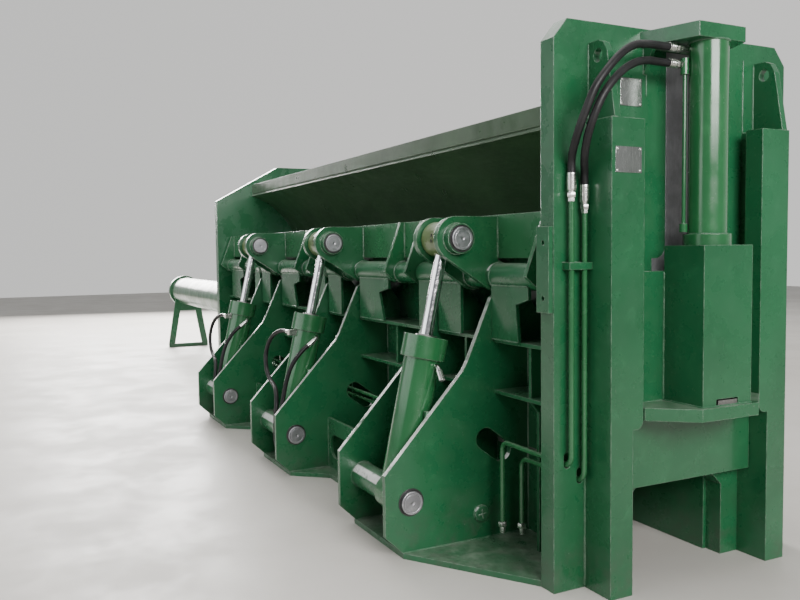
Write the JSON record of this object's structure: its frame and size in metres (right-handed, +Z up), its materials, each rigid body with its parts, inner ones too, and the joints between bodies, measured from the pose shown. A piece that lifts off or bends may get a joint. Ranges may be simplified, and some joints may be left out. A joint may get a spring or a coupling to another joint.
{
  "type": "recycling baler",
  "caption": "Scrap baling press: long chamber under a side-hinged lid worked by slanted hydraulic cylinders, with a lifting discharge gate in a portal at one end and a main ram at the other.",
  "frame": {"origin": "centre of the bounding box on the floor", "axes": "+X along the machine towards the gate portal, +Y away from the lid cylinders, +Z up"},
  "size_m": [11.895, 2.02, 2.636],
  "materials": {
    "green_paint": "glossy mid green paint with a slight orange peel, worn bright at sheared edges",
    "bare_steel": "bare machined or rolled steel, slightly oily",
    "plated_fittings": "bright zinc-plated hydraulic fittings",
    "chromed_rod": "hard-chromed, polished",
    "olive_paint": "thin olive paint over machined steel",
    "hose_rubber": "smooth black hydraulic hose"
  },
  "bodies": {
    "frame": {"base_frame": "green_paint", "chamber_floor": "green_paint", "portal": "green_paint", "left_column": "green_paint", "right_column": "green_paint", "crosshead": "green_paint", "lifting_eyes": "green_paint", "rear_plate": "green_paint", "near_wall": "green_paint", "wall_ribs": "green_paint", "back_liner": "green_paint", "back_ribs": "green_paint", "hood_rim": "green_paint", "hinge_bearings": "green_paint", "skirts": "green_paint", "cheeks": "green_paint", "shaft_end_block": "green_paint", "gate_barrel": "green_paint", "gate_pipe": "green_paint", "portal_pipes": "green_paint", "pipe_clamps": "green_paint", "feed_pipes": "green_paint", "ram_barrel": "green_paint", "tail_stand": "green_paint", "gate_wear_strip": "bare_steel", "hinge_shaft": "bare_steel", "lower_pins": "bare_steel", "blank_plates": "bare_steel", "pipe_fittings": "plated_fittings", "hose_blocks": "plated_fittings", "gate_hose_upper": "hose_rubber", "gate_hose_lower": "hose_rubber"},
    "lid": {"lid_box": "green_paint", "lid_end_plates": "green_paint", "lid_ears": "green_paint", "lid_gussets": "green_paint", "lid_sleeves": "green_paint", "upper_pins": "bare_steel"},
    "gate": {"gate_plate": "green_paint", "gate_box": "green_paint", "gate_rod": "chromed_rod", "rod_keeper": "green_paint"},
    "ram": {"ram_head": "green_paint", "ram_rod": "chromed_rod"},
    "barrel_body_1": {"barrel_1": "green_paint", "ports_1": "plated_fittings", "hose_1a": "hose_rubber", "hose_1b": "hose_rubber"},
    "rod_body_1": {"rod_1": "chromed_rod", "rod_eye_1": "olive_paint"},
    "barrel_body_2": {"barrel_2": "green_paint", "ports_2": "plated_fittings", "hose_2a": "hose_rubber", "hose_2b": "hose_rubber"},
    "rod_body_2": {"rod_2": "chromed_rod", "rod_eye_2": "olive_paint"},
    "barrel_body_3": {"barrel_3": "green_paint", "ports_3": "plated_fittings"},
    "rod_body_3": {"rod_3": "chromed_rod", "rod_eye_3": "olive_paint"}
  },
  "joints": [
    {"name": "lid_swing", "type": "hinge", "parent": "frame", "child": "lid", "pos_m": [2.6025, -0.305, 1.46], "axis": [1, 0, 0], "range_deg": [0, 60]},
    {"name": "gate_lift", "type": "slide", "parent": "frame", "child": "gate", "axis": [0, 0, 1], "range_m": [0, 0.7]},
    {"name": "ram_slide", "type": "slide", "parent": "frame", "child": "ram", "axis": [1, 0, 0], "range_m": [0, 4.2]},
    {"name": "barrel_swivel_1", "type": "hinge", "parent": "frame", "child": "barrel_body_1", "pos_m": [1.1175, -0.861, 0.293], "axis": [1, 0, 0], "range_deg": [0, 0.3]},
    {"name": "rod_slide_1", "type": "slide", "parent": "barrel_body_1", "child": "rod_body_1", "axis": [0, 0.2181, 0.9759], "range_m": [-0.322, 0]},
    {"name": "barrel_swivel_2", "type": "hinge", "parent": "frame", "child": "barrel_body_2", "pos_m": [2.9175, -0.861, 0.293], "axis": [1, 0, 0], "range_deg": [0, 0.3]},
    {"name": "rod_slide_2", "type": "slide", "parent": "barrel_body_2", "child": "rod_body_2", "axis": [0, 0.2181, 0.9759], "range_m": [-0.322, 0]},
    {"name": "barrel_swivel_3", "type": "hinge", "parent": "frame", "child": "barrel_body_3", "pos_m": [4.7175, -0.861, 0.293], "axis": [1, 0, 0], "range_deg": [0, 0.3]},
    {"name": "rod_slide_3", "type": "slide", "parent": "barrel_body_3", "child": "rod_body_3", "axis": [0, 0.2181, 0.9759], "range_m": [-0.322, 0]}
  ],
  "couplings": [
    {"joint": "barrel_swivel_1", "follows": "lid_swing", "ratio": 0.00445},
    {"joint": "rod_slide_1", "follows": "lid_swing", "m_per_rad": -0.3056},
    {"joint": "barrel_swivel_2", "follows": "lid_swing", "ratio": 0.00445},
    {"joint": "rod_slide_2", "follows": "lid_swing", "m_per_rad": -0.3056},
    {"joint": "barrel_swivel_3", "follows": "lid_swing", "ratio": 0.00445},
    {"joint": "rod_slide_3", "follows": "lid_swing", "m_per_rad": -0.3056}
  ]
}
